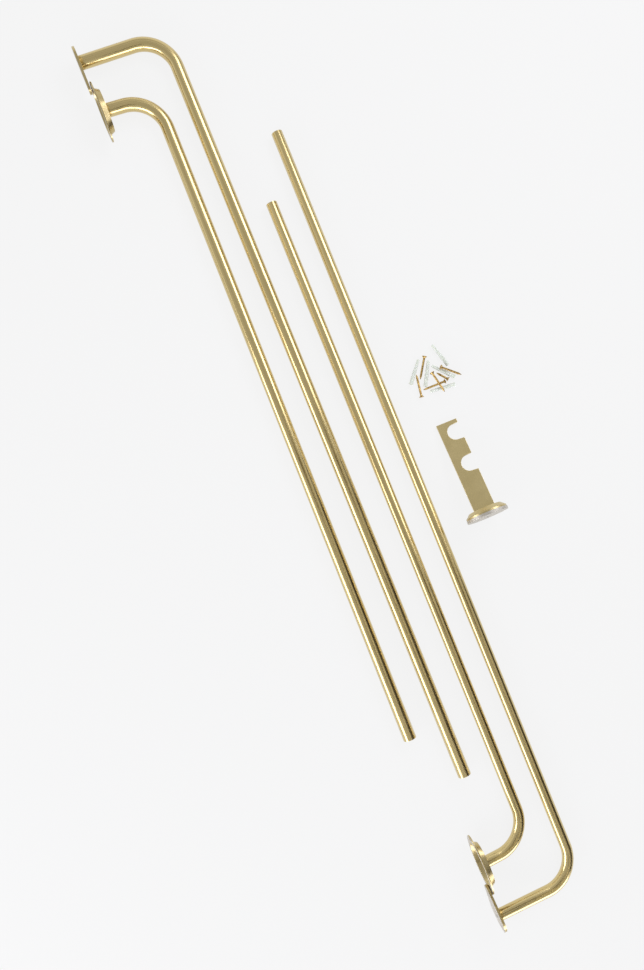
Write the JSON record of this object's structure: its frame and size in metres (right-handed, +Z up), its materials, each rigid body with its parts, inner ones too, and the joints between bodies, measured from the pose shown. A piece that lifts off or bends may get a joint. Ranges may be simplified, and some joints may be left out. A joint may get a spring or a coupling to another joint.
{
  "type": "double curtain pole",
  "caption": "Telescoping double curtain pole kit: bent tube halves with wall flanges, an open-cradle centre bracket, screws and wall plugs.",
  "frame": {"origin": "centre of the laid-out kit on the floor, at the bottom", "axes": "+X along the poles towards the thin halves' flanges, +Y from the wall sides of the flanges towards the room, +Z up from the floor"},
  "size_m": [1.3692, 0.3418, 0.0597],
  "materials": {
    "brass_tube": "satin lacquered brass plating",
    "brass_flange": "satin lacquered brass plating",
    "brass_bracket": "satin brushed brass plating",
    "brass_screw": "bright yellow zinc plating",
    "zinc": "dull zinc",
    "steel": "zinc plated steel",
    "nylon": "pale translucent nylon"
  },
  "bodies": {
    "root": {"thick_front_pole": "brass_tube", "thick_front_flange": "brass_flange", "thick_front_insert": "zinc", "thick_front_fixing_screw": "steel", "thick_back_pole": "brass_tube", "thick_back_flange": "brass_flange", "thick_back_insert": "zinc", "thick_back_fixing_screw": "steel", "thin_front_pole": "brass_tube", "thin_front_flange": "brass_flange", "thin_front_insert": "zinc", "thin_front_fixing_screw": "steel", "thin_back_pole": "brass_tube", "thin_back_flange": "brass_flange", "thin_back_insert": "zinc", "thin_back_fixing_screw": "steel", "bracket_arm": "brass_bracket", "bracket_rosette": "brass_bracket", "bracket_wall_disc": "zinc", "wall_screw_1": "brass_screw", "wall_screw_2": "brass_screw", "wall_screw_3": "brass_screw", "wall_screw_4": "brass_screw", "wall_screw_5": "brass_screw", "locking_screw": "brass_screw", "wall_plug_1": "nylon", "wall_plug_2": "nylon", "wall_plug_3": "nylon", "wall_plug_4": "nylon", "wall_plug_5": "nylon"}
  },
  "joints": []
}
